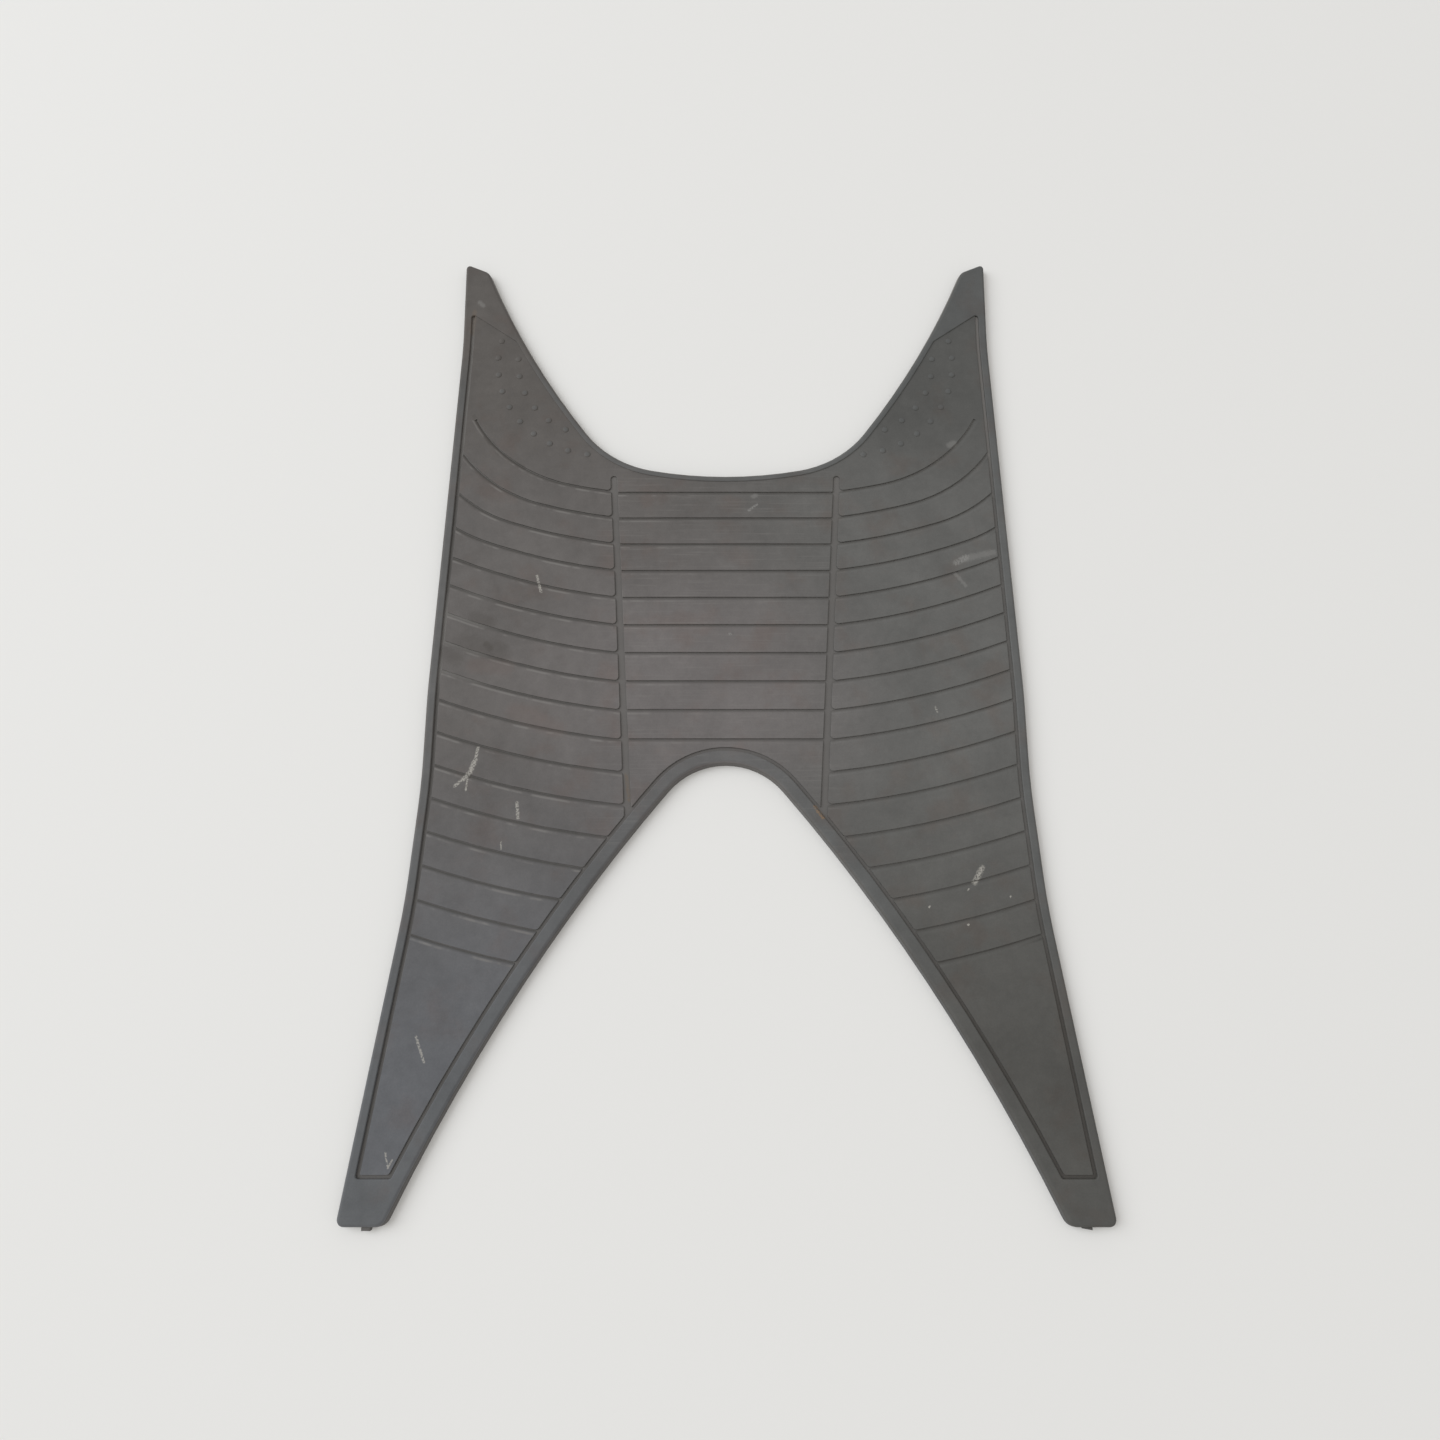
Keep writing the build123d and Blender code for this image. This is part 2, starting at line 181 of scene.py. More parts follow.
# Covers: how much of each layer's colour shows
RIM_COVER = 0.5
RIGHT_TAIL_LOSS = 0.8  # of the rim's tone and of the gutters' painted light, so the right tail keeps its painted shade
WALL_COVER = 0.5
ARCH_COVER = 0.6
WARM_COVER = 0.9
STREAK_COVER = 0.3
GROOVE_COVER = 0.45
FAR_LEFT_COVER = 0.3  # added to the cover of the grooves' painted shade
GUTTER_COVER = 0.6
TAIL_MOAT_COVER = 0.35
HORN_MOAT_COVER = 0.7
LIP_COVER = 0.55
FILLED_COVER = 0.7

# Noise: sizes in millimetres, and the values between which a share goes from none to full
NOISE_DETAIL = 3.0
NOISE_ROUGHNESS = 0.55
NOISE_MIDDLE = 0.5
NOISE_RANGE = (0.3, 0.7)  # where most values lie
CLOUDS = ((55.0, 0.16), (17.0, 0.12), (5.0, 0.08), (1.1, 0.10))  # size and strength
WARM_SIZE = 26.0
WARM_SHIFT = (300.0, 0.0, 0.0)
WARM_RANGE = (0.5, 0.72)
STREAK_LENGTH = 45.0
STREAK_WIDTH = 1.3
STREAK_RANGE = (0.52, 0.75)
LIP_SIZE = 14.0
LIP_RANGE = (0.42, 0.6)
RAG_SIZE = 1.5
GAP_SIZE = 1.1
GAP_RANGE = (0.36, 0.56)

# Surface of the rubber
ROUGHNESS = (0.6, 0.76)
ROUGHNESS_SIZE = 9.0
SPECULAR = 0.4
GRAIN_SIZES = (0.8, 4.0)
GRAIN_STRENGTH = 0.3
GRAIN_DEPTH = 0.15 * MM

# Marks in millimetres: colour, strength and raggedness, then each stroke's two ends and half width
CORE = 0.3  # share of a stroke's half width that is fully covered
FAINT = 0.5  # strength up to which a mark has no gaps
MARKS = {
    "dark patch on the left": (DARK_STAIN_AND_SHADE, 0.25, 5.0, (
        ((-178.0, 27.0), (-152.0, 19.0), 10.0),
        ((-190.0, 20.0), (-182.0, 14.0), 7.0),
        ((-172.0, 45.0), (-160.0, 41.0), 6.0),
    )),
    "warm patches on the left": (WARM_PATCH, 0.25, 6.0, (
        ((-170.0, 10.0), (-148.0, 9.0), 8.0),
        ((-140.0, -22.0), (-112.0, -34.0), 9.0),
    )),
    "dark spot on the left": (DARK_STAIN_AND_SHADE, 0.35, 2.5, (
        ((-162.6, 25.2), (-159.6, 22.2), 3.4),
    )),
    "torn flap's shadow": (DARK_STAIN_AND_SHADE, 0.8, 0.6, (
        ((-169.6, -66.6), (-174.6, -71.6), 0.55),
        ((-166.4, -64.4), (-167.4, -66.6), 0.8),
    )),
    "forked scratch": (SCRAPED, 0.9, 1.6, (
        ((-163.2, -46.5), (-164.4, -55.0), 1.3),
        ((-164.4, -55.0), (-167.3, -62.8), 2.2),
        ((-167.3, -62.8), (-171.5, -67.5), 2.0),
        ((-171.5, -67.5), (-176.4, -72.0), 1.5),
        ((-168.6, -67.8), (-169.4, -74.7), 0.8),
    )),
    "short scratches on the left": (SCRAPED, 0.8, 1.5, (
        ((-130.7, 75.2), (-127.3, 63.4), 1.3),
        ((-135.4, -83.2), (-134.2, -92.9), 1.5),
        ((-144.2, -108.3), (-143.9, -112.8), 0.6),
    )),
    "scratches on the left tail": (SCRAPED, 0.75, 1.3, (
        ((-188.4, -226.2), (-182.4, -240.4), 1.1),
        ((-201.1, -290.1), (-198.6, -298.7), 0.7),
        ((-196.6, -294.4), (-198.6, -298.7), 0.7),
    )),
    "scuff and flecks on the right": (SCRAPED, 0.85, 1.8, (
        ((157.8, -133.6), (162.9, -124.8), 2.5),
        ((153.1, -138.6), (153.6, -138.0), 0.7),
        ((179.3, -142.9), (179.8, -142.4), 0.7),
        ((127.8, -149.1), (128.3, -148.6), 0.8),
        ((151.5, -160.1), (152.0, -159.6), 0.8),
        ((139.8, -18.6), (140.7, -22.2), 0.8),
    )),
    "broad pale smears": (DULL_SCRAPE, 0.34, 3.0, (
        ((166.0, 88.0), (187.0, 93.0), 3.4),
        ((162.0, 177.0), (165.0, 178.5), 3.4),
        ((20.0, 136.0), (21.5, 137.0), 2.6),
        ((159.5, 77.0), (166.0, 68.0), 1.8),
    )),
    "pale smears": (DULL_SCRAPE, 0.7, 2.0, (
        ((160.6, 85.0), (168.0, 89.2), 3.0),
        ((16.6, 125.2), (22.4, 129.8), 1.3),
        ((2.6, 32.7), (3.4, 32.7), 1.2),
    )),
    "rust on the arch": (RUST, 0.6, 2.4, (
        ((57.7, -85.8), (62.7, -92.9), 1.8),
    )),
    "brown gutter": (BROWN, 0.6, 2.4, (
        ((-65.2, -64.8), (-62.8, -81.2), 1.8),
    )),
    "brown horn tip": (BROWN, 0.35, 2.6, (
        ((-188.7, 289.6), (-189.6, 271.2), 2.4),
    )),
    # painted shade: a soft dark band along the outer end of the first groove
    "painted shade at the end of the first groove": (DARK_STAIN_AND_SHADE, 0.3, 2.0, (
        ((-183.0, 200.2), (-175.2, 185.9), 2.6),
        ((-175.2, 185.9), (-162.6, 170.7), 2.8),
        ((-162.6, 170.7), (-144.6, 158.9), 2.2),
    )),
    "pale horn tip": (DULL_SCRAPE, 0.35, 2.6, (
        ((-185.4, 297.4), (-182.6, 294.6), 2.4),
    )),
}


# Form

def merged_copy():
    """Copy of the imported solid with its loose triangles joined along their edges."""
    shape = bmesh.new()
    shape.from_mesh(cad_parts["floor_mat"].data)
    bmesh.ops.remove_doubles(shape, verts=shape.verts, dist=MERGE)
    shape.normal_update()
    return shape


def lies_at(part, level):
    """True for a face or an edge that lies at a height."""
    return all(abs(vertex.co.z - level) < SAME_LEVEL for vertex in part.verts)


def level_faces(shape, level):
    """Faces that look up at a height."""
    return [face for face in shape.faces if face.normal.z > LEVEL and lies_at(face, level)]


def take_studs_off(shape):
    """Removes the six-sided studs, closes the panels under them and gives their places."""
    tops = bmesh.ops.dissolve_faces(shape, faces=level_faces(shape, STUD_TOP))["region"]
    places = [top.calc_center_median().xy for top in tops]
    studs = {face for top in tops for vertex in top.verts for face in vertex.link_faces}
    bmesh.ops.delete(shape, geom=list(studs), context="FACES")
    openings = [edge for edge in shape.edges if edge.is_boundary]
    bmesh.ops.holes_fill(shape, edges=openings, sides=STUD_SIDES)
    return places


def join_flat_faces(shape):
    """Joins the triangles of the treads' tops, of each half of the rim and of the flat walls."""
    shape.normal_update()
    rim = level_faces(shape, RIM_TOP)
    rim_parts = {part for face in rim for part in (*face.verts, *face.edges, face)}
    bmesh.ops.bisect_plane(
        shape, geom=list(rim_parts), dist=SAME_LEVEL, plane_co=(0, 0, 0), plane_no=(1, 0, 0)
    )
    shape.normal_update()
    for side in (-1, 1):
        rim = level_faces(shape, RIM_TOP)
        half = [face for face in rim if face.calc_center_median().x * side > 0]
        bmesh.ops.dissolve_faces(shape, faces=half)
    bmesh.ops.dissolve_faces(shape, faces=level_faces(shape, TREAD_TOP))
    kept_levels = (UNDERSIDE, GROOVE_FLOOR, RIM_TOP)
    simple = [edge for edge in shape.edges if not any(lies_at(edge, level) for level in kept_levels)]
    bmesh.ops.dissolve_limit(shape, angle_limit=FLAT, verts=[], edges=simple)


def drop_straight_points(shape):
    """Takes out the points of the treads that stand on a straight edge."""
    straight = [
        vertex for vertex in shape.verts
        if GROOVE_FLOOR < vertex.co.z < TREAD_TOP + SAME_LEVEL and vertex.calc_edge_angle(math.pi) < FLAT
    ]
    bmesh.ops.dissolve_verts(shape, verts=straight)
    shape.normal_update()


def spare_point(face):
    """Nearly straight point of a tread's outline that is too close to a corner, and that corner."""
    for loop in face.loops:
        if loop.edge.calc_length() < SHORT_SIDE:
            for point, corner in ((loop, loop.link_loop_next), (loop.link_loop_next, loop)):
                bends = [abs(math.pi - end.calc_angle()) for end in (point, corner)]
                if bends[0] < BARELY_BENT and bends[1] > CREASE:
                    return {point.vert: corner.vert}
    return None


def free_corners(shape):
    """Draws spare points of the treads' outlines into their corners, to leave room for the rounding."""
    for index in range(len(level_faces(shape, TREAD_TOP))):
        spare = spare_point(level_faces(shape, TREAD_TOP)[index])
        while spare:
            bmesh.ops.weld_verts(shape, targetmap=spare)
            spare = spare_point(level_faces(shape, TREAD_TOP)[index])
    shape.normal_update()


def soften(shape):
    """Gives the treads' and the rim's inner edges their share of the widest rounding."""
    weights = shape.edges.layers.float.new("bevel_weight_edge")
    for edge in shape.edges:
        if len(edge.link_faces) != 2 or edge.calc_face_angle_signed() < CREASE:
            continue
        ups = sorted(face.normal.z for face in edge.link_faces)
        lowest = min(vertex.co.z for vertex in edge.verts)
        upright = ups[1] < UPRIGHT and abs(lowest - GROOVE_FLOOR) < SAME_LEVEL
        top = ups[1] > LEVEL
        wall = ups[0] < UPRIGHT
        if upright:
            beside = [side for vertex in edge.verts for side in vertex.link_edges if side is not edge]
            shortest = min(side.calc_length() for side in beside)
            edge[weights] = min(CORNER_EDGE, SIDE_SHARE * shortest) / RAMP_EDGE
        elif top and wall and lowest > RIM_TOP - SAME_LEVEL:
            edge[weights] = RIM_EDGE / RAMP_EDGE
        elif top and wall:
            edge[weights] = TOP_EDGE / RAMP_EDGE
        elif top and abs(lowest - TREAD_TOP) < SAME_LEVEL:
            edge[weights] = 1.0


def plain_mesh(obj):
    """Mesh of an object with its modifiers worked in."""
    graph = bpy.context.evaluated_depsgraph_get()
    return bpy.data.meshes.new_from_object(
        obj.evaluated_get(graph), preserve_all_data_layers=True, depsgraph=graph
    )


def link(name, data):
    """New object in the scene, at the origin."""
    obj = bpy.data.objects.new(name, data)
    bpy.context.scene.collection.objects.link(obj)
    return obj


def part_walls(mesh):
    """Keeps the shading of upright walls apart from that of the roundings above them."""
    shape = bmesh.new()
    shape.from_mesh(mesh)
    for edge in shape.edges:
        leans = sorted(abs(face.normal.z) for face in edge.link_faces)
        if leans[0] < UPRIGHT < leans[1]:
            edge.smooth = False
    shape.to_mesh(mesh)
    shape.free()


def moulded_mat(shape):
    """The mat with soft edges, none above the rim, and smooth shading."""
    mesh = bpy.data.meshes.new("moulded_mat")
    shape.to_mesh(mesh)
    mat = link("moulded_mat", mesh)
    bevel = mat.modifiers.new("soft_edges", "BEVEL")
    bevel.limit_method = "WEIGHT"
    bevel.width = RAMP_EDGE
    bevel.segments = EDGE_STEPS
    bevel.use_clamp_overlap = False
    mat.data = plain_mesh(mat)
    mat.modifiers.clear()
    for vertex in mat.data.vertices:
        vertex.co.z = min(vertex.co.z, RIM_TOP)
    mat.data.shade_smooth()
    mat.data.set_sharp_from_angle(angle=SMOOTH)
    part_walls(mat.data)
    mat.modifiers.new("flat_tops", "WEIGHTED_NORMAL").keep_sharp = True
    mat.data = plain_mesh(mat)
    mat.modifiers.clear()
    return mat


def stud_tree():
    """Geometry Nodes tree that sets a low round dome on every point of a mesh."""
    tree = bpy.data.node_groups.new("Round studs", "GeometryNodeTree")
    input_kinds = {
        "Places": "NodeSocketGeometry",
        "Stud Radius": "NodeSocketFloat",
        "Stud Height": "NodeSocketFloat",
        "Rubber": "NodeSocketMaterial",
    }
    for name, kind in input_kinds.items():
        tree.interface.new_socket(name, in_out="INPUT", socket_type=kind)
    tree.interface.new_socket("Studs", in_out="OUTPUT", socket_type="NodeSocketGeometry")
    given = tree.nodes.new("NodeGroupInput")
    result = tree.nodes.new("NodeGroupOutput")
    ball = tree.nodes.new("GeometryNodeMeshUVSphere")
    ball.inputs["Segments"].default_value = STUD_SEGMENTS
    ball.inputs["Rings"].default_value = STUD_RINGS
    ball.inputs["Radius"].default_value = 1.0
    size = tree.nodes.new("ShaderNodeCombineXYZ")
    dome = tree.nodes.new("GeometryNodeTransform")
    spread = tree.nodes.new("GeometryNodeInstanceOnPoints")
    realize = tree.nodes.new("GeometryNodeRealizeInstances")
    smooth = tree.nodes.new("GeometryNodeSetShadeSmooth")
    finish = tree.nodes.new("GeometryNodeSetMaterial")
    wires = (
        (given.outputs["Stud Radius"], size.inputs["X"]),
        (given.outputs["Stud Radius"], size.inputs["Y"]),
        (given.outputs["Stud Height"], size.inputs["Z"]),
        (ball.outputs["Mesh"], dome.inputs["Geometry"]),
        (size.outputs["Vector"], dome.inputs["Scale"]),
        (given.outputs["Places"], spread.inputs["Points"]),
        (dome.outputs["Geometry"], spread.inputs["Instance"]),
        (spread.outputs["Instances"], realize.inputs["Geometry"]),
        (realize.outputs["Geometry"], smooth.inputs["Geometry"]),
        (smooth.outputs["Geometry"], finish.inputs["Geometry"]),
        (given.outputs["Rubber"], finish.inputs["Material"]),
        (finish.outputs["Geometry"], result.inputs["Studs"]),
    )
    for source, target in wires:
        tree.links.new(source, target)
    return tree


def round_studs(places, rubber):
    """The studs of both horns, as one piece."""
    mesh = bpy.data.meshes.new("round_studs")
    mesh.from_pydata([(place.x, place.y, TREAD_TOP) for place in places], [], [])
    studs = link("round_studs", mesh)
    tree = stud_tree()
    setter = studs.modifiers.new("stud_rows", "NODES")
    setter.node_group = tree
    inputs = {
        "Stud Radius": STUD_DIAMETER / 2,
        "Stud Height": STUD_RISE,
        "Rubber": rubber,
    }
    for name, value in inputs.items():
        setter[tree.interface.items_tree[name].identifier] = value
    studs.data = plain_mesh(studs)
    studs.modifiers.clear()
    return studs


# Material

class Wiring:
    """Adds nodes to a shader tree in short calls."""

    MIX_INPUTS = (0, 6, 7)  # a Mix node's factor and its two colours
    MIX_RESULT = 2  # the output with its mixed colour

    def __init__(self, tree):
        self.tree = tree

    def feed(self, socket, value):
        """Links a socket to another one, or sets its value."""
        if isinstance(value, bpy.types.NodeSocket):
            self.tree.links.new(value, socket)
        else:
            socket.default_value = value

    def node(self, kind, feeds=(), **settings):
        """New node with its settings and its first inputs."""
        made = self.tree.nodes.new(kind)
        for name, value in settings.items():
            setattr(made, name, value)
        for socket, value in zip(made.inputs, feeds):
            self.feed(socket, value)
        return made

    def math(self, operation, *feeds):
        """Math node's result."""
        return self.node("ShaderNodeMath", feeds, operation=operation).outputs[0]

    def vector(self, operation, *feeds):
        """Vector Math node's outputs; the first is a vector and the second a number."""
        return self.node("ShaderNodeVectorMath", feeds, operation=operation).outputs

    def fade(self, value, limits):
        """Smooth share from 0 at the first limit to 1 at the second."""
        feeds = (value, *limits, 0.0, 1.0)
        return self.node("ShaderNodeMapRange", feeds, interpolation_type="SMOOTHSTEP").outputs[0]

    def spread(self, noise, low, high):
        """Noise spread between two values."""
        return self.node("ShaderNodeMapRange", (noise, *NOISE_RANGE, low, high)).outputs[0]

    def product(self, *shares):
        """Product of several shares."""
        total = shares[0]
        for share in shares[1:]:
            total = self.math("MULTIPLY", total, share)
        return total

    def remainder(self, share, loss=1.0):
        """What a loss over a share of the surface leaves."""
        return self.math("MULTIPLY_ADD", share, -loss, 1.0)

    def noise(self, place, size):
        """Noise with features of about this size."""
        made = self.node("ShaderNodeTexNoise")
        self.feed(made.inputs["Vector"], place)
        self.feed(made.inputs["Scale"], 1 / size)
        self.feed(made.inputs["Detail"], NOISE_DETAIL)
        self.feed(made.inputs["Roughness"], NOISE_ROUGHNESS)
        return made.outputs[0]

    def blend(self, share, base, top, mode="MIX"):
        """Colour with another laid over it."""
        made = self.node("ShaderNodeMix", data_type="RGBA", blend_type=mode)
        for socket, value in zip(self.MIX_INPUTS, (share, base, top)):
            self.feed(made.inputs[socket], value)
        return made.outputs[self.MIX_RESULT]


class RubberWiring(Wiring):
    """Wiring of the rubber, with places in millimetres and the zones that several layers share."""

    def __init__(self, tree):
        super().__init__(tree)
        object_place = self.node("ShaderNodeTexCoord").outputs["Object"]
        per_mm = 1 / MM
        self.place = self.vector("MULTIPLY", object_place, (per_mm, per_mm, per_mm))[0]
        self.flat_place = self.vector("MULTIPLY", object_place, (per_mm, per_mm, 0.0))[0]
        self.x, self.y, self.z = self.node("ShaderNodeSeparateXYZ", (self.place,)).outputs
        self.on_left = self.fade(self.x, LEFT_SIDE)
        self.on_right_tail = self.product(self.fade(self.x, RIGHT_TAIL), self.fade(self.y, TAIL_ENDS))
        self.off_right_tail = self.remainder(self.on_right_tail, RIGHT_TAIL_LOSS)


def zone_tone(wiring):
    """Broad colour of the mat: warm and pale in the middle, greyer on the right, cool on the left tail
    and dark on the right tail; the left tail's cool tint is painted cool window light and the right
    tail's darkness is painted shade.
    """
    right = wiring.fade(wiring.x, LEFT_TO_RIGHT)
    front = wiring.fade(wiring.y, HORNS)
    rear = wiring.fade(wiring.y, TAILS)
    middle_place = wiring.node("ShaderNodeCombineXYZ", [
        wiring.math("MULTIPLY_ADD", along, 1 / reach, shift)
        for along, reach, shift in zip((wiring.x, wiring.y), MIDDLE_REACH, MIDDLE_SHIFT)
    ]).outputs[0]
    middle = wiring.fade(wiring.vector("LENGTH", middle_place)[1], MIDDLE_FADE)
    sides = wiring.blend(right, SIDE_LEFT, SIDE_RIGHT)
    tone = wiring.blend(middle, sides, MIDDLE)
    tone = wiring.blend(front, tone, wiring.blend(right, HORN_LEFT, HORN_RIGHT))
    return wiring.blend(rear, tone, wiring.blend(right, TAIL_LEFT, TAIL_RIGHT))


def rim_and_walls(wiring, tone):
    """Cooler rim, except on the left horn tip and the right tail, and outer walls.

    The low walls on the left are darkened with painted shade, and the low part of the arch's right wall
    is lightened with pale, cool painted window light.
    """
    on_rim = wiring.fade(wiring.z, ON_RIM)
    left_tip = wiring.product(wiring.on_left, wiring.fade(wiring.y, HORN_TIPS))
    cool = wiring.product(on_rim, wiring.remainder(left_tip), wiring.off_right_tail, RIM_COVER)
    tone = wiring.blend(cool, tone, RIM_TONE)
    low = wiring.fade(wiring.z, LOW_WALL)
    # painted shade on the low walls on the left, which face away from the window
    dark = wiring.product(low, wiring.fade(wiring.x, LEFT_WALLS), WALL_COVER)
    tone = wiring.blend(dark, tone, PAINTED_SHADE_TONE)
    # painted cool window light on the low part of the arch's right wall
    across_tail = wiring.math("MULTIPLY_ADD", wiring.y, TAIL_LEAN, wiring.x)
    arch_side = wiring.product(
        wiring.fade(across_tail, ARCH_SIDE),
        wiring.fade(wiring.x, RIGHT_OF_ARCH),
        wiring.fade(wiring.y, BESIDE_ARCH),
    )
    return wiring.blend(wiring.product(low, arch_side, ARCH_COVER), tone, COOL_WINDOW_LIGHT)


def dust_clouds(wiring, tone):
    """Mottled dust, from broad clouds to fine grain, and warm tints."""
    for size, strength in CLOUDS:
        cloud = wiring.noise(wiring.place, size)
        shade = wiring.spread(cloud, 1 - strength / 2, 1 + strength / 2)
        tone = wiring.vector("MULTIPLY", tone, shade)[0]
    warm_place = wiring.vector("ADD", wiring.place, WARM_SHIFT)[0]
    warm = wiring.fade(wiring.noise(warm_place, WARM_SIZE), WARM_RANGE)
    return wiring.blend(wiring.product(warm, WARM_COVER), tone, WARM_TINT, "MULTIPLY")


def middle_streaks(wiring, tone):
    """Pale streaks across the middle treads."""
    stretch = (1 / STREAK_LENGTH, 1 / STREAK_WIDTH, 0.0)
    stretched = wiring.vector("MULTIPLY", wiring.place, stretch)[0]
    streaks = wiring.fade(wiring.noise(stretched, 1.0), STREAK_RANGE)
    middle = wiring.product(
        wiring.fade(wiring.x, STREAKS_FROM_RIGHT), wiring.fade(wiring.x, STREAKS_FROM_LEFT), STREAK_COVER
    )
    return wiring.blend(wiring.product(streaks, middle), tone, PALE_DUST_AND_LIGHT)


def groove_shade_light_and_dust(wiring, tone):
    """Painted shade on the ramps of the grooves, painted light in the gutters and in the moat, painted
    shadow in the right tail's moat, and dust in groove ends.

    The front edges of the treads on the left are paler, in broken patches.
    """
    depth = wiring.fade(wiring.z, IN_GROOVE)
    in_gutter = wiring.fade(wiring.z, IN_GUTTER)
    # painted shade on the grooves' ramps, stronger on the far left
    ramp_shade = wiring.math("MULTIPLY_ADD", wiring.fade(wiring.x, FAR_LEFT), FAR_LEFT_COVER, GROOVE_COVER)
    tone = wiring.blend(wiring.product(depth, ramp_shade), tone, PAINTED_SHADE_TONE)
    # painted light in the gutters and moats, except on the right tail
    lit_gutter = wiring.product(in_gutter, wiring.off_right_tail, GUTTER_COVER)
    tone = wiring.blend(lit_gutter, tone, GUTTER_PAINTED_LIGHT)
    # painted shadow in the right tail's moat
    moat_shadow = wiring.product(in_gutter, wiring.on_right_tail, TAIL_MOAT_COVER)
    tone = wiring.blend(moat_shadow, tone, DARK_STAIN_AND_SHADE)
    # painted light in the horns' moats, lifting their shade
    horn_moat = wiring.product(in_gutter, wiring.fade(wiring.y, HORN_MOATS), HORN_MOAT_COVER)
    tone = wiring.blend(horn_moat, tone, PALE_DUST_AND_LIGHT)
    lip = wiring.product(wiring.fade(wiring.z, LIP_FROM_BELOW), wiring.fade(wiring.z, LIP_FROM_ABOVE))
    broken = wiring.fade(wiring.noise(wiring.place, LIP_SIZE), LIP_RANGE)
    tone = wiring.blend(wiring.product(lip, broken, wiring.on_left, LIP_COVER), tone, PALE_DUST_AND_LIGHT)
    filled = wiring.product(
        depth,
        wiring.fade(wiring.x, FILLED_ENDS),
        wiring.fade(wiring.y, FILLED_FROM_REAR),
        wiring.fade(wiring.y, FILLED_FROM_FRONT),
        FILLED_COVER,
    )
    return wiring.blend(filled, tone, PALE_DUST_AND_LIGHT)


def stroke_group():
    """Shader group that gives the cover of one stroke, with a ragged edge.

    From and Run place the stroke. The dot product of a place with Slope, plus Start, is its share
    of the way along the stroke.
    """
    tree = bpy.data.node_groups.new("Stroke", "ShaderNodeTree")
    for name in ("Place", "From", "Run", "Slope"):
        tree.interface.new_socket(name, in_out="INPUT", socket_type="NodeSocketVector")
    for name in ("Start", "Half Width", "Core", "Rag", "Grain"):
        tree.interface.new_socket(name, in_out="INPUT", socket_type="NodeSocketFloat")
    tree.interface.new_socket("Cover", in_out="OUTPUT", socket_type="NodeSocketFloat")
    wiring = Wiring(tree)
    given = tree.nodes.new("NodeGroupInput").outputs
    reached = wiring.vector("DOT_PRODUCT", given["Place"], given["Slope"])[1]
    along = wiring.node(
        "ShaderNodeMath", (reached, given["Start"]), operation="ADD", use_clamp=True
    ).outputs[0]
    nearest = wiring.vector("MULTIPLY_ADD", given["Run"], along, given["From"])[0]
    gap = wiring.vector("DISTANCE", given["Place"], nearest)[1]
    ragged = wiring.math("MULTIPLY_ADD", given["Grain"], given["Rag"], gap)
    cover = wiring.fade(ragged, (given["Half Width"], given["Core"]))
    tree.links.new(cover, tree.nodes.new("NodeGroupOutput").inputs["Cover"])
    return tree


def marks_and_painted_shade(wiring, tone):
    """Marks where the photograph shows them, the bold ones with gaps; the torn flap's shadow and the
    band at the end of the first groove are painted shade.
    """
    group = stroke_group()
    grain = wiring.math("SUBTRACT", wiring.noise(wiring.flat_place, RAG_SIZE), NOISE_MIDDLE)
    gaps = wiring.fade(wiring.noise(wiring.flat_place, GAP_SIZE), GAP_RANGE)
    for name, (mark_tone, strength, rag, strokes) in MARKS.items():
        total = 0.0
        for start, end, half_width in strokes:
            first = Vector((*start, 0.0))
            run = Vector((*end, 0.0)) - first
            slope = run / run.length_squared
            line = (wiring.flat_place, first, run, slope, -first.dot(slope))
            edge = (half_width, CORE * half_width, rag, grain)
            cover = wiring.node("ShaderNodeGroup", line + edge, node_tree=group, label=name).outputs[0]
            total = wiring.math("MAXIMUM", total, cover)
        breaks = gaps if strength > FAINT else 1.0
        tone = wiring.blend(wiring.product(total, breaks, strength), tone, mark_tone)
    return tone


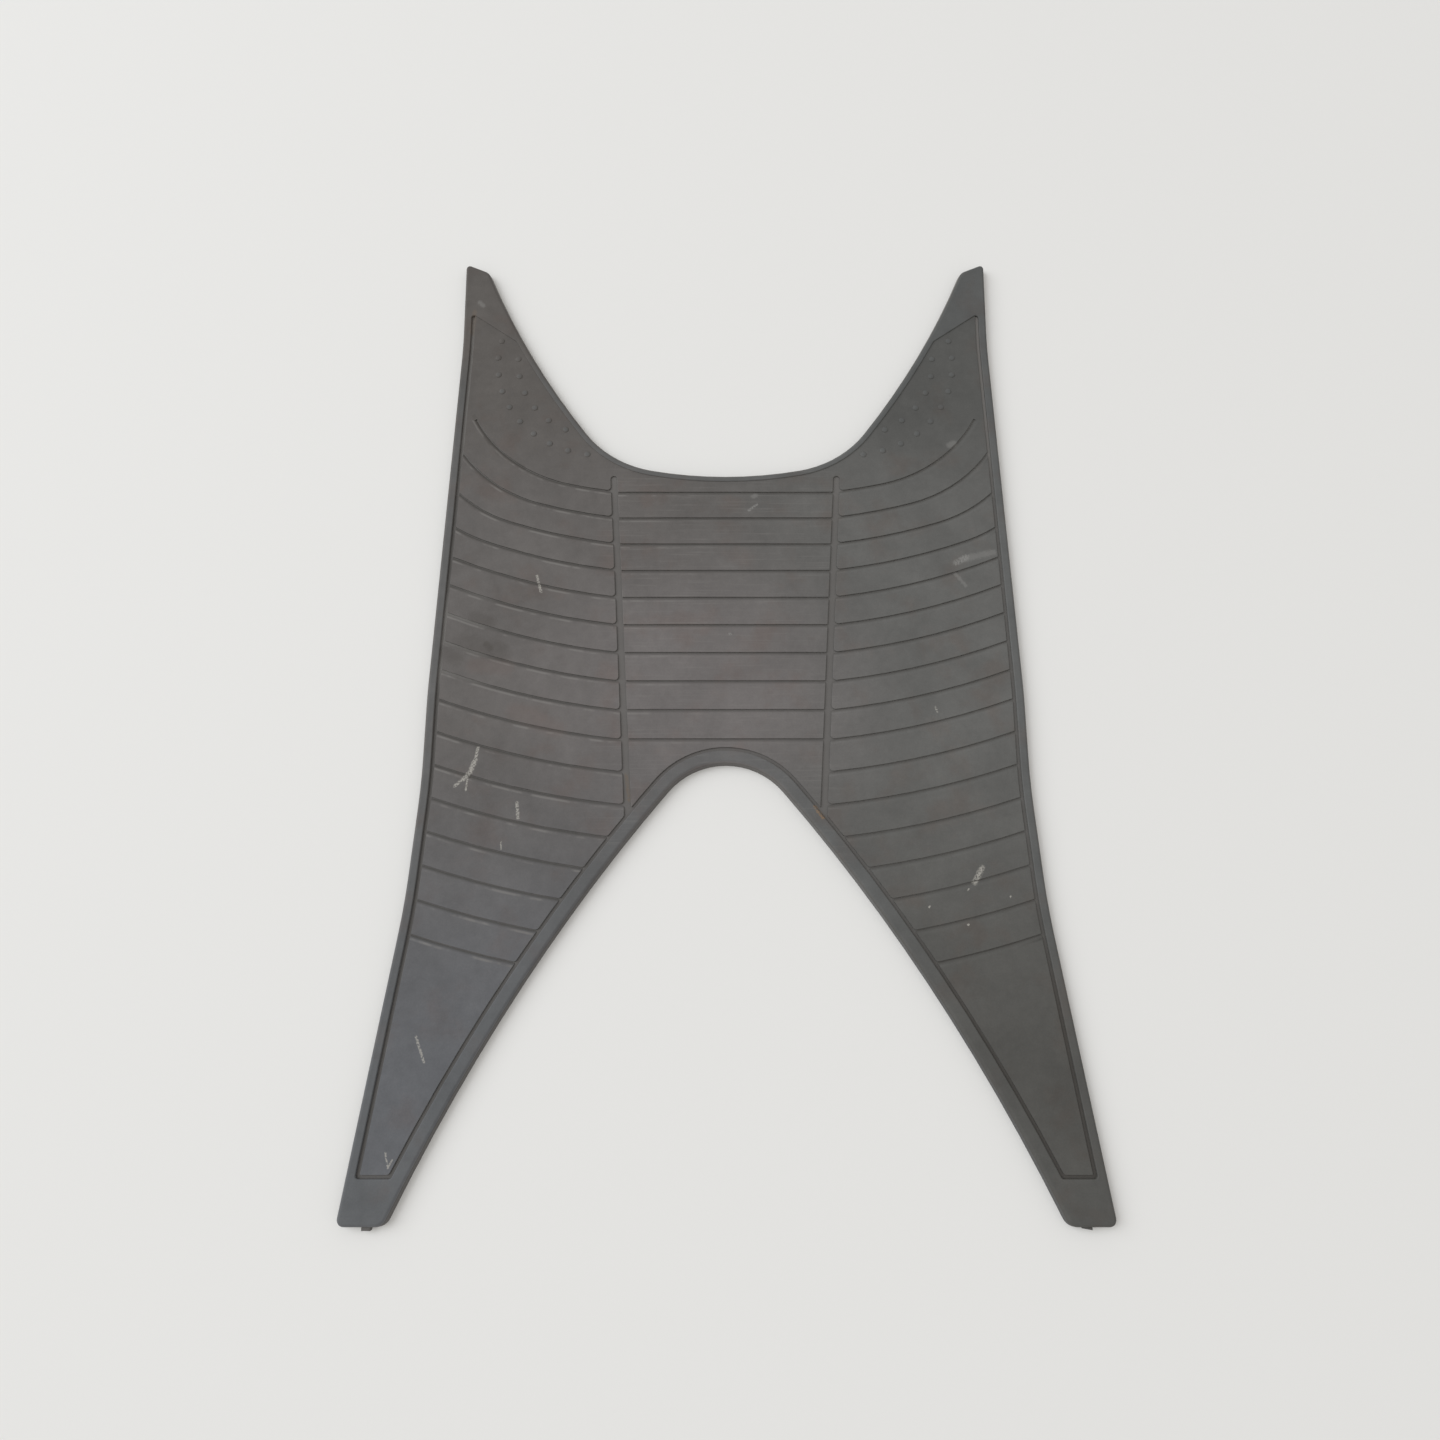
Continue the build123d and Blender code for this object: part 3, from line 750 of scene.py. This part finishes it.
def rubber_material():
    """Dusty, worn moulded rubber with a fine grain."""
    material = bpy.data.materials.new("dusty_rubber")
    material.use_nodes = True
    shader = material.node_tree.nodes["Principled BSDF"]
    wiring = RubberWiring(material.node_tree)
    tone = zone_tone(wiring)
    for layer in (rim_and_walls, dust_clouds, middle_streaks, groove_shade_light_and_dust, marks_and_painted_shade):
        tone = layer(wiring, tone)
    wiring.feed(shader.inputs["Base Color"], tone)
    patches = wiring.noise(wiring.place, ROUGHNESS_SIZE)
    wiring.feed(shader.inputs["Roughness"], wiring.spread(patches, *ROUGHNESS))
    shader.inputs["Specular IOR Level"].default_value = SPECULAR
    bump = wiring.node("ShaderNodeBump")
    bump.inputs["Strength"].default_value = GRAIN_STRENGTH
    bump.inputs["Distance"].default_value = GRAIN_DEPTH
    fine, coarse = [wiring.noise(wiring.place, size) for size in GRAIN_SIZES]
    wiring.feed(bump.inputs["Height"], wiring.math("ADD", fine, coarse))
    wiring.feed(shader.inputs["Normal"], bump.outputs[0])
    return material


def floor_material():
    """Plain pale floor."""
    material = bpy.data.materials.new("pale_floor")
    material.use_nodes = True
    shader = material.node_tree.nodes["Principled BSDF"]
    shader.inputs["Base Color"].default_value = FLOOR_TONE
    shader.inputs["Roughness"].default_value = FLOOR_ROUGHNESS
    return material


# Mat

rubber = rubber_material()
shape = merged_copy()
stud_places = take_studs_off(shape)
join_flat_faces(shape)
drop_straight_points(shape)
free_corners(shape)
soften(shape)
mat = moulded_mat(shape)
shape.free()
mat.data.materials.clear()
mat.data.materials.append(rubber)
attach(mat, "root")
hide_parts("floor_mat")

studs = round_studs(stud_places, rubber)
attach(studs, "root")

# Floor, light and camera

floor_mesh = bpy.data.meshes.new("floor")
corners = [(-1, -1), (1, -1), (1, 1), (-1, 1)]
floor_points = [(x * FLOOR_HALF, y * FLOOR_HALF, UNDERSIDE - FLOOR_GAP) for x, y in corners]
floor_mesh.from_pydata(floor_points, [], [(0, 1, 2, 3)])
floor_mesh.materials.append(floor_material())
floor = link("floor", floor_mesh)

world = bpy.data.worlds.new("room")
bpy.context.scene.world = world
world.use_nodes = True
sky = world.node_tree.nodes["Background"]
sky.inputs["Color"].default_value = SKY_TONE
sky.inputs["Strength"].default_value = SKY_STRENGTH

lamp = bpy.data.lights.new("window", "AREA")
lamp.shape = "SQUARE"
lamp.size = WINDOW_SIZE
lamp.energy = WINDOW_POWER
lamp.color = WINDOW_TONE
window = link("window", lamp)
window.location = WINDOW_PLACE
window.rotation_euler = WINDOW_PLACE.to_track_quat("Z", "Y").to_euler()

eye = bpy.data.cameras.new("camera")
eye.lens = LENS
eye.sensor_width = SENSOR
camera = link("camera", eye)
camera.location = (CAMERA_X, mat_high.y - CAMERA_BEHIND_TIPS, CAMERA_HEIGHT)
camera.rotation_euler = (CAMERA_TILT, 0.0, 0.0)
bpy.context.scene.camera = camera
bpy.context.scene.view_settings.view_transform = "Standard"
